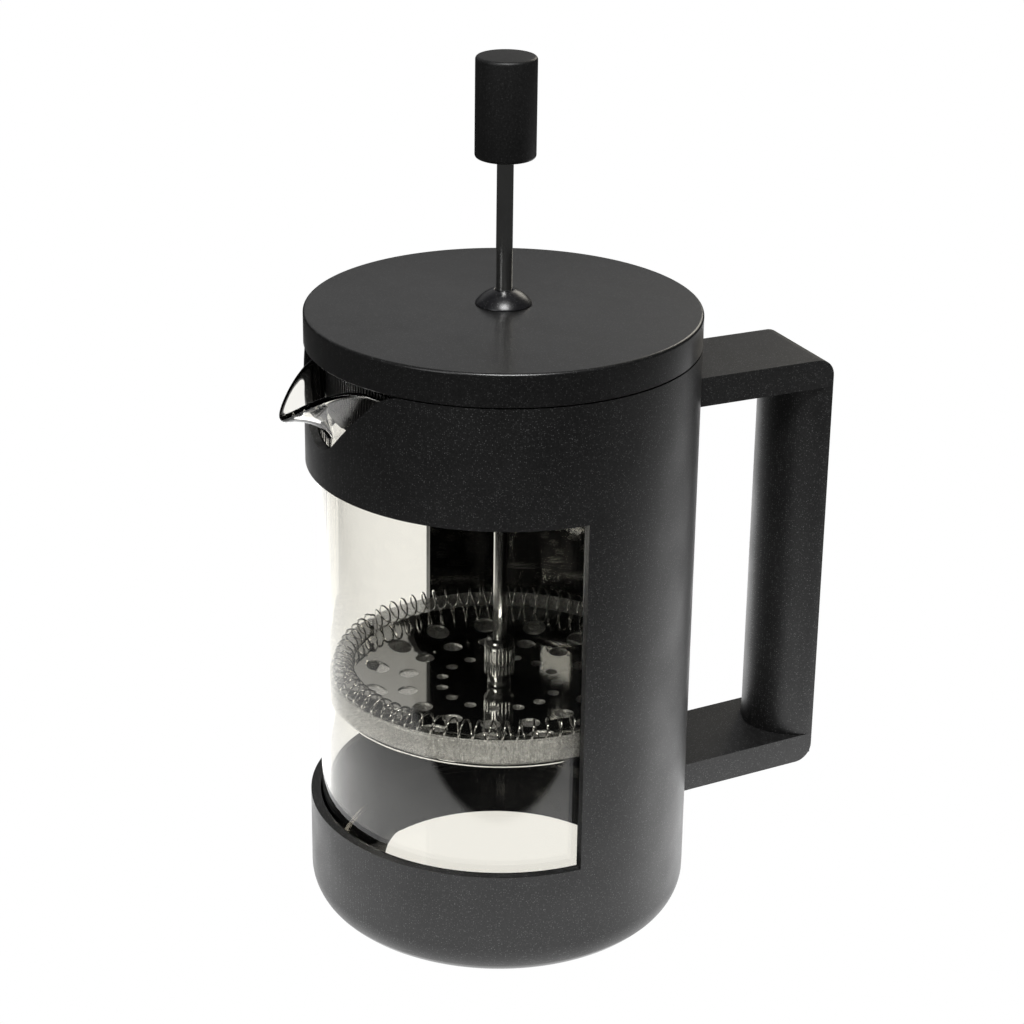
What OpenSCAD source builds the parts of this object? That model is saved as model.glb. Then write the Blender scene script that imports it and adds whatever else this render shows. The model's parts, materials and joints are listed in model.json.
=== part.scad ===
// French press: a glass beaker in a moulded cage with a handle, and a lid whose
// plunger carries a steel filter stack.
// Origin: centre of the base, on the beaker's axis. +Z up, handle towards +X,
// spout towards -X. Millimetres.

/* [Cage] */
// Outer diameter of the cage
cage_d = 106; // [90:0.5:130]
// Wall of the cage
cage_wall = 2.7; // [2.2:0.1:3.4]
// Radius of the rounded heel
heel_r = 10.5; // [7:0.5:13]
// Height of the ledge that the beaker stands on
ledge_z = 11; // [8:0.5:12]
// Thickness of the ledge
ledge_t = 2.6; // [1.5:0.1:4]
// Diameter of the hole in the base
base_hole_d = 64; // [40:1:70]
// Width of the foot ring that meets the table
foot_w = 2; // [1:0.5:4]
// Height of the window's sill
sill_z = 33; // [24:0.5:42]
// Height of the window
window_h = 100.3; // [70:0.5:130]
// Height of the band above the window
band_h = 32.9; // [26:0.5:40]
// Depth of the notch in the band below the spout
notch_depth = 22.4; // [16:0.1:24]
// Radius of the notch's round bottom
notch_r = 12.5; // [8:0.5:14]
// Angle between the notch's flanks and the vertical
notch_angle = 45; // [40:1:50]
// Radius of the rounded shoulders where the notch's flanks meet the band's top
notch_shoulder_r = 8; // [2:0.5:12]

/* [Handle] */
// How far the handle's outer face stands out from the cage
handle_reach = 41.8; // [32:0.2:55]
// Width of the handle
handle_w = 29; // [22:0.5:32]
// Height of the top arm's upper face
handle_top_z = 152.6; // [140:0.2:160]
// Height of the bottom arm's lower face at the cage
handle_bottom_z = 25.8; // [14:0.2:32]
// Thickness of both arms
arm_t = 8.3; // [6:0.1:10]
// How far the bottom arm climbs on its way out
arm_rise = 1.9; // [0:0.1:4]
// Radius of the handle's two outer corners
handle_corner_r = 5; // [3:0.5:7]
// Thickness of the edge along the grip's outer face
grip_edge = 0.8; // [0.5:0.1:2]
// How far the rounded grip stands out from that edge
grip_depth = 13; // [9:0.2:15]
// Wall of the hollow grip
grip_wall = 2.6; // [2:0.1:3.5]
// Thickness of the cover that closes the grip
cover_t = 1.8; // [1.2:0.1:2.4]

/* [Beaker] */
// Gap between the beaker and the cage, all round
beaker_gap = 0.4; // [0.3:0.05:0.8]
// Thickness of the glass wall
glass_t = 2; // [1.5:0.1:2.6]
// Thickness of the glass floor
glass_floor = 2.8; // [2:0.1:4]
// Outer radius of the beaker's heel
glass_heel_r = 8; // [5:0.5:10]
// How far the beaker's rim lies below the top of the band
rim_drop = 4.2; // [3:0.1:5]
// How far the spout's tip stands out from the wall
spout_l = 12.6; // [8:0.2:15]
// How far the spout's tip droops below the rim
spout_droop = 10.2; // [4:0.2:12]
// Half of the spout's width where it leaves the wall
spout_half_w = 16.4; // [13:0.1:18]
// How far the throat's foot climbs towards the spout's sides, as a share of its height
spout_climb = 0.8; // [0.7:0.05:0.9]
// How much thicker than the wall the spout's lip is
lip_bead = 0.6; // [0:0.1:1.5]

/* [Lid] */
// How far the lid's side stands in from the cage's
lid_inset = 0; // [0:0.1:1]
// Height of the lid's skirt
lid_h = 9.1; // [7:0.1:12]
// Thickness of the lid's top
lid_t = 2.5; // [1.8:0.1:3]
// How far the lid's top rises from its edge to the bush
lid_crown = 1; // [0:0.1:2]
// Wall of the lid's skirt
lid_wall = 2.2; // [1.6:0.1:3]
// Radius of the lid's top edge
lid_edge_r = 0.8; // [0.5:0.1:1.5]
// Depth of the strainer below the lid's top plate
strainer_h = 23; // [18:0.5:28]
// Wall of the strainer
strainer_t = 1.6; // [1.2:0.1:2.2]
// Gap between the strainer and the glass
strainer_gap = 0.7; // [0.4:0.1:1.5]
// Number of slots in the strainer
slot_count = 40; // [16:1:48]
// Width of one slot
slot_w = 0.6; // [0.5:0.1:0.9]
// Angle between two slots
slot_step = 1.4; // [1.4:0.1:2]
// Diameter of the shaft bush's dome
bush_d = 15.4; // [11:0.2:18]
// Height of the shaft bush's dome
bush_h = 4.2; // [3:0.1:7]
// Diameter of the bush's shank in the lid
bush_shank_d = 9; // [8:0.2:10]

/* [Plunger] */
// Diameter of the rod above the step
rod_d = 4.4; // [3.6:0.1:5]
// Diameter of the rod below the step
rod_lower_d = 3.8; // [2.6:0.1:4]
// Height of the rod's step
rod_step_z = 150; // [140:1:158]
// Height of the knob's lower face with the plunger as stored
knob_z = 216; // [200:1:230]
// Diameter of the knob
knob_d = 16.1; // [13:0.1:20]
// Height of the knob
knob_h = 26.6; // [20:0.1:32]
// Radius of the knob's edges
knob_edge_r = 0.8; // [0.4:0.1:1.5]
// Diameter of the knob's threaded insert
insert_d = 7; // [6:0.2:9]
// Length of the insert
insert_l = 18; // [12:0.5:20]
// Diameter of the fluted ferrule
ferrule_d = 8.5; // [7:0.1:10]
// Height of the fluted ferrule
ferrule_h = 14.2; // [11:0.1:16]
// Number of flutes
flute_count = 24; // [16:1:30]

/* [Filter] */
// Height of the mesh's underside with the plunger as stored
filter_z = 64; // [50:0.5:80]
// Gap between the mesh's rim and the glass
mesh_gap = 0.5; // [0.3:0.1:1]
// Thickness of the mesh
mesh_t = 0.5; // [0.4:0.1:0.8]
// Height of the mesh's turned-up rim
mesh_rim_h = 7.5; // [5:0.1:9]
// Radius of the bend between the mesh's floor and its rim
mesh_bend_r = 1.6; // [1:0.1:3]
// Thickness of the perforated plate
plate_t = 0.8; // [0.6:0.1:1.2]
// Radius at which the perforated plate starts to rise, as a share of its edge's
plate_flat_share = 0.62; // [0.5:0.01:0.7]
// Number of radial rows of holes
row_count = 15; // [12:1:16]
// Distance of the inner ring of holes from the axis, as a share of the plate's radius
ring_1_share = 0.373; // [0.34:0.001:0.41]
// Diameter of the inner holes
hole_1_d = 3.3; // [2.5:0.1:4]
// Distance of the middle ring of holes from the axis, as a share of the plate's radius
ring_2_share = 0.595; // [0.55:0.001:0.62]
// Diameter of the middle holes
hole_2_d = 5.4; // [4:0.1:6]
// Distance of the outer ring of holes from the axis, as a share of the plate's radius
ring_3_share = 0.801; // [0.76:0.001:0.82]
// Diameter of the outer holes
hole_3_d = 6.7; // [5:0.1:7]
// Radius of the embossed disc in the plate's middle
boss_r = 12.4; // [10:0.2:13]
// Outer diameter of the spring's coil
coil_d = 6.4; // [5:0.1:8]
// Diameter of the spring's wire
wire_d = 0.6; // [0.5:0.05:0.8]
// Number of turns in the spring
coil_turns = 76; // [60:1:84]
// How far the coil's middle stands above the mesh's rim
coil_lift = 0.8; // [0:0.1:1.5]
// Thickness of the cross plate
cross_t = 0.8; // [0.6:0.1:1.2]
// Radius of the cross plate's rolled edge
roll_r = 0.9; // [0.6:0.1:1.2]
// Width across the flats of the hub nut
nut_af = 9; // [8:0.5:11]
// Height of the hub nut
nut_h = 3.8; // [3:0.1:5]

/* [Hidden] */
$fn = 96;

run_fit = 0.05; // radial clearance of a part that turns or slides in another
seat_gap = 0.2; // gap under a part that only rests on its seat
fix_gap = 0.02; // clearance of a fixed joint that is screwed or pressed
past = 1; // how far a cutter reaches past what it cuts

black = [0.09, 0.09, 0.09];
steel = [0.72, 0.72, 0.72];

cage_r = cage_d / 2;
bore_r = cage_r - cage_wall;
window_top = sill_z + window_h;
band_top = window_top + band_h;

beaker_r = bore_r - beaker_gap;
beaker_z = ledge_z + seat_gap;
rim_z = band_top - rim_drop;
glass_bore_r = beaker_r - glass_t;
spout_half_angle = asin(spout_half_w / beaker_r);
throat_z = band_top - notch_depth; // the throat starts at the notch's bottom

lid_r = cage_r - lid_inset;
lid_z = band_top + seat_gap;
lid_top = lid_z + lid_h;
lid_under = lid_top - lid_t;
strainer_r = glass_bore_r - strainer_gap;
strainer_z = lid_under - strainer_h;

bush_r = bush_shank_d / 2;
rod_r = rod_d / 2;
rod_lower_r = rod_lower_d / 2;
rod_hole_r = rod_lower_r + fix_gap;

mesh_r = glass_bore_r - mesh_gap;
plate_z = filter_z + mesh_t;
coil_r = coil_d / 2 - wire_d / 2;
coil_path_r = mesh_r - mesh_t - fix_gap - coil_d / 2;
coil_z = filter_z + mesh_rim_h + coil_lift;
// the plate's edge rises to carry the coil from below
plate_edge_r = coil_path_r;
plate_flat_r = plate_flat_share * plate_edge_r;
plate_rise = coil_z - coil_d / 2 - seat_gap - plate_t - plate_z;
ferrule_z = plate_z + plate_t;
nut_z = filter_z - cross_t - nut_h;

handle_x = cage_r + handle_reach;
grip_x = handle_x - grip_edge;
grip_low = handle_bottom_z + arm_t;
grip_high = handle_top_z - arm_t;

// Points on an arc about (x, y), both ends included
function arc(x, y, r, from, to, steps) =
    [for (i = [0:steps]) let (a = from + (to - from) * i / steps) [x + r * cos(a), y + r * sin(a)]];

// The rounded half of the grip's section: a flattened half oval with its nose towards -X
function grip_outline(x, depth, half, steps = 24) =
    [for (i = [0:steps]) let (a = -90 + 180 * i / steps, power = 2 / 1.75)
        [x - depth * cos(a) ^ power, half * sign(a) * abs(sin(a)) ^ power]];

// Wall, heel and ledge of the cage, from the outer foot edge round to the inner one
module cage_section() {
    foot_r = cage_r - heel_r;
    edge = 0.5;
    polygon(concat(
        arc(foot_r, heel_r, heel_r, -90, 0, 14),
        arc(cage_r - edge, band_top - edge, edge, 0, 90, 3),
        arc(bore_r + edge, band_top - edge, edge, 90, 180, 3),
        [[bore_r, ledge_z], [base_hole_d / 2, ledge_z], [base_hole_d / 2, ledge_z - ledge_t],
            [foot_r - foot_w, ledge_z - ledge_t], [foot_r - foot_w, 0]]
    ));
}

// Side view of the handle's loop
module handle_side() {
    c = handle_corner_r;
    low = handle_bottom_z + arm_rise;
    polygon(concat(
        [[bore_r, handle_bottom_z], [handle_x - c, low - arm_rise * c / (handle_x - cage_r)]],
        arc(handle_x - c, low + c, c, -87, 0, 8),
        arc(handle_x - c, handle_top_z - c, c, 0, 90, 8),
        [[bore_r, handle_top_z], [bore_r, grip_high], [grip_x, grip_high],
            [grip_x, grip_low + arm_rise], [bore_r, grip_low]]
    ));
}

module notch_cutter() {
    bottom = band_top - notch_depth;
    a = 90 - notch_angle;
    top = notch_depth - notch_r; // the band's top above the round bottom's centre
    // height at which a flank ends and its shoulder starts
    flank_top = top - notch_shoulder_r * (1 - sin(notch_angle));
    flank = notch_r * sin(a) + (flank_top + notch_r * cos(a)) * tan(notch_angle);
    shoulder = flank + notch_shoulder_r * cos(notch_angle);
    low = top - notch_shoulder_r;
    translate([-cage_r - past, 0, bottom + notch_r]) rotate([90, 0, 90])
        linear_extrude(cage_r) polygon(concat(
            arc(0, 0, notch_r, -90 - a, -90 + a, 10),
            arc(shoulder, low, notch_shoulder_r, 180 - notch_angle, 90, 6),
            [[shoulder, top + past], [-shoulder, top + past]],
            arc(-shoulder, low, notch_shoulder_r, 90, notch_angle, 6)
        ));
}

module grip_pocket(clearance) {
    inset = grip_wall + clearance;
    half = handle_w / 2 - inset;
    translate([0, 0, grip_low + arm_rise + grip_wall + clearance])
        linear_extrude(grip_high - grip_low - arm_rise - 2 * inset)
            polygon(concat(
                grip_outline(grip_x, grip_depth - inset, half),
                [[handle_x + past, half], [handle_x + past, -half]]
            ));
}

module cage() {
    color(black) difference() {
        union() {
            rotate_extrude() cage_section();
            difference() {
                union() {
                    translate([0, handle_w / 2, 0]) rotate([90, 0, 0])
                        linear_extrude(handle_w) handle_side();
                    translate([0, 0, grip_low - arm_t / 2])
                        linear_extrude(grip_high - grip_low + arm_t)
                            polygon(grip_outline(grip_x, grip_depth, handle_w / 2));
                }
                translate([0, 0, -past]) cylinder(r = bore_r + cage_wall / 2, h = band_top);
            }
        }
        translate([-cage_d, -cage_d / 2, sill_z]) cube([cage_d, cage_d, window_h]);
        notch_cutter();
        grip_pocket(0);
    }
}

module handle_cover() {
    color(black) intersection() {
        grip_pocket(run_fit);
        union() {
            translate([handle_x - cover_t, -handle_w / 2, handle_bottom_z])
                cube([cover_t, handle_w, handle_top_z - handle_bottom_z]);
            // two ribs locate the cover in the hollow grip
            for (share = [0.25, 0.75])
                translate([grip_x - grip_depth / 2, -handle_w / 2,
                        grip_low + share * (grip_high - grip_low)])
                    cube([grip_depth / 2 + grip_edge - cover_t / 2, handle_w, cover_t]);
        }
    }
}

// Share of the way from the spout's middle, rounded there over a few degrees, to its sides
function spout_side(a, round = 2) = min((sqrt(a ^ 2 + round ^ 2) - round) / spout_half_angle, 1);
// How far the spout carries the rim outwards at angle a from its middle
function spout_out(a) = spout_l * (1 - spout_side(a)) ^ 1.5;
// Angle through which the wall bends outwards: right over at the spout's middle
function flare_bend(a) = max(90 * sqrt(spout_out(a) / spout_l), 1);
// Outer wall at angle a, from the throat's foot (v = 0) to the rim (v = 1)
function flare_r(a, v) = let (bend = flare_bend(a))
    beaker_r + spout_out(a) * (1 - cos(bend * v)) / (1 - cos(bend));
function flare_h(a, v) =
    let (bend = flare_bend(a),
            foot = throat_z + spout_climb * (rim_z - throat_z) * spout_side(a),
            droop = spout_droop * (spout_out(a) / spout_l) ^ 1.5)
        foot + (rim_z - droop - foot) * sin(bend * v) / sin(bend);
// Slope of that wall outwards, so that the glass keeps its thickness
function flare_lean(a, v) = let (u = max(v - 0.01, 0))
    atan2(flare_r(a, v + 0.01) - flare_r(a, u), flare_h(a, v + 0.01) - flare_h(a, u));

// The glass gathers to a thicker lip along the spout
function glass_at(a, v) = glass_t + lip_bead * sqrt(spout_out(a) / spout_l) * v ^ 3;

// One blown piece: rows of points go up the outside, over the rim and down the inside
module beaker() {
    fine = [for (a = [-24:2:24]) a];
    coarse = [for (a = [30:6:330]) a];
    angles = concat(fine, coarse); // from the spout's middle
    heel_in = glass_heel_r - glass_t;
    floor_z = beaker_z + glass_floor;
    heel_out_rows = arc(beaker_r - glass_heel_r, beaker_z + glass_heel_r, glass_heel_r, -90, 0, 6);
    heel_in_rows = arc(glass_bore_r - heel_in, floor_z + heel_in, heel_in, 0, -90, 5);
    flare_steps = [for (i = [0:8]) i / 8];
    back_steps = [for (i = [8:-1:0]) i / 8];
    rim_steps = [36:36:144];
    rows = concat(
        [for (p = heel_out_rows) [for (a = angles) [p[0], p[1], a]]],
        [for (v = flare_steps) [for (a = angles) [flare_r(a, v), flare_h(a, v), a]]],
        [for (b = rim_steps) [for (a = angles) let (s = flare_lean(a, 1), t = glass_at(a, 1) / 2)
            [flare_r(a, 1) - t * cos(s) + t * cos(b - s), flare_h(a, 1) + t * sin(s) + t * sin(b - s),
                a]]],
        [for (v = back_steps) [for (a = angles) let (s = flare_lean(a, v), t = glass_at(a, v))
            [flare_r(a, v) - t * cos(s), flare_h(a, v) + t * sin(s), a]]],
        [for (p = heel_in_rows) [for (a = angles) [p[0], p[1], a]]]
    );
    n = len(angles);
    m = len(rows);
    points = concat(
        [for (row = rows) for (p = row) [-p[0] * cos(p[2]), -p[0] * sin(p[2]), p[1]]],
        [[0, 0, beaker_z], [0, 0, floor_z]]
    );
    // each square between rows is two triangles, and a fan closes each end
    faces = concat(
        [for (i = [0:m - 2]) for (j = [0:n - 1]) let (k = (j + 1) % n)
            [i * n + j, (i + 1) * n + j, (i + 1) * n + k]],
        [for (i = [0:m - 2]) for (j = [0:n - 1]) let (k = (j + 1) % n)
            [i * n + j, (i + 1) * n + k, i * n + k]],
        [for (j = [0:n - 1]) [m * n, j, (j + 1) % n]],
        [for (j = [0:n - 1]) [m * n + 1, (m - 1) * n + (j + 1) % n, (m - 1) * n + j]]
    );
    color([0.85, 0.9, 0.9, 0.4]) polyhedron(points, faces, convexity = 6);
}

module lid_cover() {
    r = lid_r;
    e = lid_edge_r;
    tuck = 0.4;
    hole = bush_r + run_fit;
    rise = [for (i = [1:6]) (r - e) + (hole - (r - e)) * i / 6];
    color(black) rotate_extrude() polygon(concat(
        [[hole, lid_under], [r - lid_wall, lid_under], [r - lid_wall, lid_z],
            [r - tuck, lid_z], [r, lid_z + 2 * tuck]],
        arc(r - e, lid_top - e, e, 0, 90, 5),
        [for (x = rise) [x, lid_top + lid_crown * (1 - (x / (r - e)) ^ 2)]]
    ));
}

// Ring under the lid that hangs in the beaker's mouth, slotted on one side
module lid_strainer() {
    rim = lid_r - lid_wall - beaker_gap;
    flange_t = 1.4;
    flange_r = strainer_r - 3 * strainer_t; // the flange's inner edge
    top = lid_under - fix_gap;
    band = 2.5; // solid ring left below and above the slots
    slot_low = strainer_z + band;
    slot_h = top - flange_t - band - slot_low;
    color(black) difference() {
        rotate_extrude() polygon([
            [strainer_r - strainer_t, strainer_z], [strainer_r, strainer_z],
            [strainer_r, top - flange_t], [rim, top - flange_t], [rim, top],
            [flange_r, top], [flange_r, top - flange_t],
            [strainer_r - strainer_t, top - flange_t]
        ]);
        for (i = [0:slot_count - 1])
            rotate([0, 0, 180 + (i - (slot_count - 1) / 2) * slot_step])
                translate([strainer_r - strainer_t - past, -slot_w / 2, slot_low])
                    cube([strainer_t + 2 * past, slot_w, slot_h]);
    }
}

// Domed bush that guides the rod: the lid turns on its shank, above a snap ring
module shaft_bush() {
    r = bush_d / 2;
    base = lid_top + lid_crown + run_fit;
    // the dome's arc passes through the base edge and its top
    ball = (r ^ 2 + bush_h ^ 2) / (2 * bush_h);
    bore = rod_r + run_fit;
    mouth = 0.4; // width of the countersink round the rod
    snap = 0.9; // how far the snap ring stands out
    snap_z = lid_under - 3;
    shank_l = 8; // below the lid's top
    from = asin((ball - bush_h) / ball);
    to = acos((bore + mouth) / ball);
    color([0.12, 0.12, 0.12]) rotate_extrude() polygon(concat(
        [[bore, lid_under - shank_l], [bush_r - snap, lid_under - shank_l],
            [bush_r, lid_under - shank_l + snap], [bush_r, snap_z], [bush_r + snap, snap_z + snap],
            [bush_r, lid_under - seat_gap], [bush_r, base]],
        arc(0, base + bush_h - ball, ball, from, to, 12),
        [[bore, base + bush_h - 2 * mouth]]
    ));
}

module knob() {
    r = knob_d / 2;
    e = knob_edge_r;
    bore = insert_d / 2 + fix_gap;
    color(black) rotate_extrude() polygon(concat(
        [[bore, knob_z]],
        arc(r - e, knob_z + e, e, -90, 0, 4),
        arc(r - e, knob_z + knob_h - e, e, 0, 90, 4),
        [[0, knob_z + knob_h], [0, knob_z + insert_l + 1], [bore, knob_z + insert_l + 1]]
    ));
}

module knob_insert() {
    recess = 0.3; // the insert lies this far inside the knob
    blind_h = 1.3; // solid end above its hole
    color([0.78, 0.62, 0.3]) difference() {
        translate([0, 0, knob_z + recess]) cylinder(d = insert_d, h = insert_l);
        translate([0, 0, knob_z - past])
            cylinder(r = rod_r + fix_gap, h = insert_l + recess + past - blind_h);
    }
}

module plunger_rod() {
    bottom = nut_z + 0.5;
    top = knob_z + insert_l - 3; // ends in the knob's insert
    color(steel) {
        translate([0, 0, bottom]) cylinder(r = rod_lower_r, h = rod_step_z - bottom);
        translate([0, 0, rod_step_z]) cylinder(r = rod_r, h = top - rod_step_z);
    }
}

// Fluted collar above the plate, with a narrow neck and a domed top
module rod_ferrule() {
    r = ferrule_d / 2;
    foot = 0.79 * r; // radius of the foot and of the collar above the groove
    groove = 0.66 * r;
    neck_h = 3.2;
    dome_h = 2.4;
    body_top = ferrule_h - dome_h;
    crown = rod_hole_r + 0.3; // the dome stops short of the rod
    flute_r = 0.55 * PI * r / flute_count;
    flute_low = neck_h + 0.9;
    flute_high = body_top - 0.5;
    color(steel) translate([0, 0, ferrule_z]) difference() {
        rotate_extrude() polygon(concat(
            [[rod_hole_r, 0], [foot, 0], [foot, 0.8], [groove, 1.1], [groove, 1.7],
                [foot, 2.1], [foot, neck_h - 0.3], [r, neck_h + 0.4]],
            [for (a = [0:15:75]) [crown + (r - crown) * cos(a), body_top + dome_h * sin(a)]],
            [[rod_hole_r, ferrule_h]]
        ));
        for (i = [0:flute_count - 1])
            rotate([0, 0, i * 360 / flute_count])
                translate([r + 0.35 * flute_r, 0, flute_low])
                    cylinder(r = flute_r, h = flute_high - flute_low, $fn = 24);
    }
}

module perforated_plate() {
    rise = [for (i = [0:8]) i / 8];
    function lift(v) = plate_rise * v ^ 1.6;
    span = plate_edge_r - plate_flat_r;
    emboss = 0.3;
    color(steel) translate([0, 0, plate_z]) difference() {
        rotate_extrude() polygon(concat(
            [[rod_hole_r, 0]],
            [for (v = rise) [plate_flat_r + span * v, lift(v)]],
            [for (i = [8:-1:0]) [plate_flat_r + span * i / 8, lift(i / 8) + plate_t]],
            [[boss_r + 2 * emboss, plate_t], [boss_r, plate_t - emboss], [ferrule_d / 2, plate_t - emboss],
                [ferrule_d / 2 - emboss, plate_t], [rod_hole_r, plate_t]]
        ));
        for (i = [0:row_count - 1])
            rotate([0, 0, i * 360 / row_count])
                for (hole = [
                        [ring_1_share, hole_1_d], [ring_2_share, hole_2_d], [ring_3_share, hole_3_d]])
                    translate([hole[0] * plate_edge_r, 0, -past])
                        cylinder(d = hole[1], h = plate_rise + plate_t + 2 * past);
    }
}

// Wire wound round the plate's edge: a tube swept along a coiled ring
module coil_spring() {
    sides = 5;
    per_turn = 9;
    n = coil_turns * per_turn;
    function centre(i) = let (a = 360 * i / n, b = 360 * i / per_turn,
        r = coil_path_r + coil_r * cos(b)) [r * cos(a), r * sin(a), coil_z + coil_r * sin(b)];
    function unit(v) = v / norm(v);
    function ring(i) = let (
            along = unit(centre(i + 0.5) - centre(i - 0.5)),
            a = 360 * i / n,
            out = unit(centre(i) - [coil_path_r * cos(a), coil_path_r * sin(a), coil_z]),
            side = unit(cross(along, out)),
            up = cross(side, along))
        [for (k = [0:sides - 1]) let (t = 360 * k / sides)
            centre(i) + wire_d / 2 * (cos(t) * up + sin(t) * side)];
    points = [for (i = [0:n - 1]) each ring(i)];
    faces = [for (i = [0:n - 1]) for (k = [0:sides - 1])
        let (j = (i + 1) % n, l = (k + 1) % sides)
            each [[i * sides + k, j * sides + l, j * sides + k],
                [i * sides + k, i * sides + l, j * sides + l]]];
    color(steel) polyhedron(points, faces, convexity = 10);
}

module filter_mesh() {
    b = mesh_bend_r;
    r = mesh_r;
    color([0.6, 0.6, 0.6]) translate([0, 0, filter_z]) rotate_extrude() polygon(concat(
        [[rod_hole_r, 0]],
        arc(r - b, b, b, -90, 0, 5),
        [[r, mesh_rim_h], [r - mesh_t, mesh_rim_h]],
        arc(r - b, b, b - mesh_t, 0, -90, 5),
        [[rod_hole_r, mesh_t]]
    ));
}

// Bottom plate with six openings and a rolled edge
module cross_plate() {
    edge_r = mesh_r - mesh_bend_r - roll_r;
    inner = nut_af;
    outer = edge_r - 8; // leaves a rim below the mesh's edge
    web = 16; // angle of each of the six webs
    color(steel) translate([0, 0, filter_z - cross_t]) {
        difference() {
            union() {
                cylinder(r = edge_r, h = cross_t);
                rotate_extrude() translate([edge_r, cross_t - roll_r]) circle(r = roll_r, $fn = 32);
            }
            translate([0, 0, -past]) cylinder(r = rod_hole_r, h = cross_t + 2 * past);
            for (i = [0:5])
                rotate([0, 0, i * 60 + web / 2])
                    translate([0, 0, -past]) rotate_extrude(angle = 60 - web)
                        translate([inner, 0]) square([outer - inner, cross_t + 2 * past]);
        }
    }
}

module hub_nut() {
    color(steel) difference() {
        translate([0, 0, nut_z]) cylinder(d = nut_af / cos(30), h = nut_h, $fn = 6);
        translate([0, 0, nut_z - past]) cylinder(r = rod_hole_r, h = nut_h + 2 * past);
    }
}

cage();
handle_cover();
beaker();
lid_cover();
lid_strainer();
shaft_bush();
knob();
knob_insert();
plunger_rod();
rod_ferrule();
perforated_plate();
coil_spring();
filter_mesh();
cross_plate();
hub_nut();
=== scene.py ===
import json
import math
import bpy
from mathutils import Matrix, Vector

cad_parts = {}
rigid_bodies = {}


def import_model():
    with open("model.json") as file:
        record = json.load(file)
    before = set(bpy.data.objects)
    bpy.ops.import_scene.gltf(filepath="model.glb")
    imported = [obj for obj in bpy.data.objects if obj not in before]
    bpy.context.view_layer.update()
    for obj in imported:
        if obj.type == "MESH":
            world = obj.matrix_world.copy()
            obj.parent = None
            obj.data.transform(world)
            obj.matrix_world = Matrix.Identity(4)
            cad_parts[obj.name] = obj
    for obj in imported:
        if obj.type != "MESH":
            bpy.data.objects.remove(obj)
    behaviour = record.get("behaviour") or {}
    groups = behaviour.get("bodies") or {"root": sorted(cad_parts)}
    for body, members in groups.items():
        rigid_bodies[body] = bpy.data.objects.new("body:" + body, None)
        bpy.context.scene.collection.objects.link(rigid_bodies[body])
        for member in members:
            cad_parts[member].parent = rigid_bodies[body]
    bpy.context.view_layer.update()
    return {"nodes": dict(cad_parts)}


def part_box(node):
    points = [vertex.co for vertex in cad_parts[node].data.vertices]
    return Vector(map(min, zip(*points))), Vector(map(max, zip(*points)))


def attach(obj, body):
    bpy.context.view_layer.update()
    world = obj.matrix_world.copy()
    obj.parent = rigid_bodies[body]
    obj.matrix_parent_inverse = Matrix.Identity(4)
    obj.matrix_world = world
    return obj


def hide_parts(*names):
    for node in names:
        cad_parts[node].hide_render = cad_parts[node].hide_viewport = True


bl_info = {
    "name": "French Press",
    "version": (1, 0, 0),
    "blender": (4, 5, 0),
    "location": "3D Viewport > Sidebar > French Press",
    "description": "Models the finished pieces of a french press round its construction model",
    "category": "Object",
}

import bpy
from bpy.props import FloatProperty, FloatVectorProperty, IntProperty, PointerProperty
from mathutils import Matrix, Vector

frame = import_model()

MM = 0.001

cage_low, cage_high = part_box("cage")
beaker_low, beaker_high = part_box("beaker")
lid_low, lid_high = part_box("lid_cover")
bush_low, bush_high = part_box("shaft_bush")
knob_low, knob_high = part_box("knob")
rod_low, rod_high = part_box("plunger_rod")
mesh_low, mesh_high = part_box("filter_mesh")
coil_low, coil_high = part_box("coil_spring")
plate_low, plate_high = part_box("perforated_plate")


def length(name, description, default):
    """A size in metres that a user may change."""
    return FloatProperty(
        name=name, description=description, default=default, min=0, unit="LENGTH", precision=5
    )


def colour(name, description, default):
    """A colour that a user may change."""
    return FloatVectorProperty(
        name=name, description=description, default=default, size=3, min=0, max=1, subtype="COLOR"
    )


def turn(name, description, default):
    """An angle that a user may change, given here in degrees."""
    return FloatProperty(name=name, description=description, default=math.radians(default), subtype="ANGLE")


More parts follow.
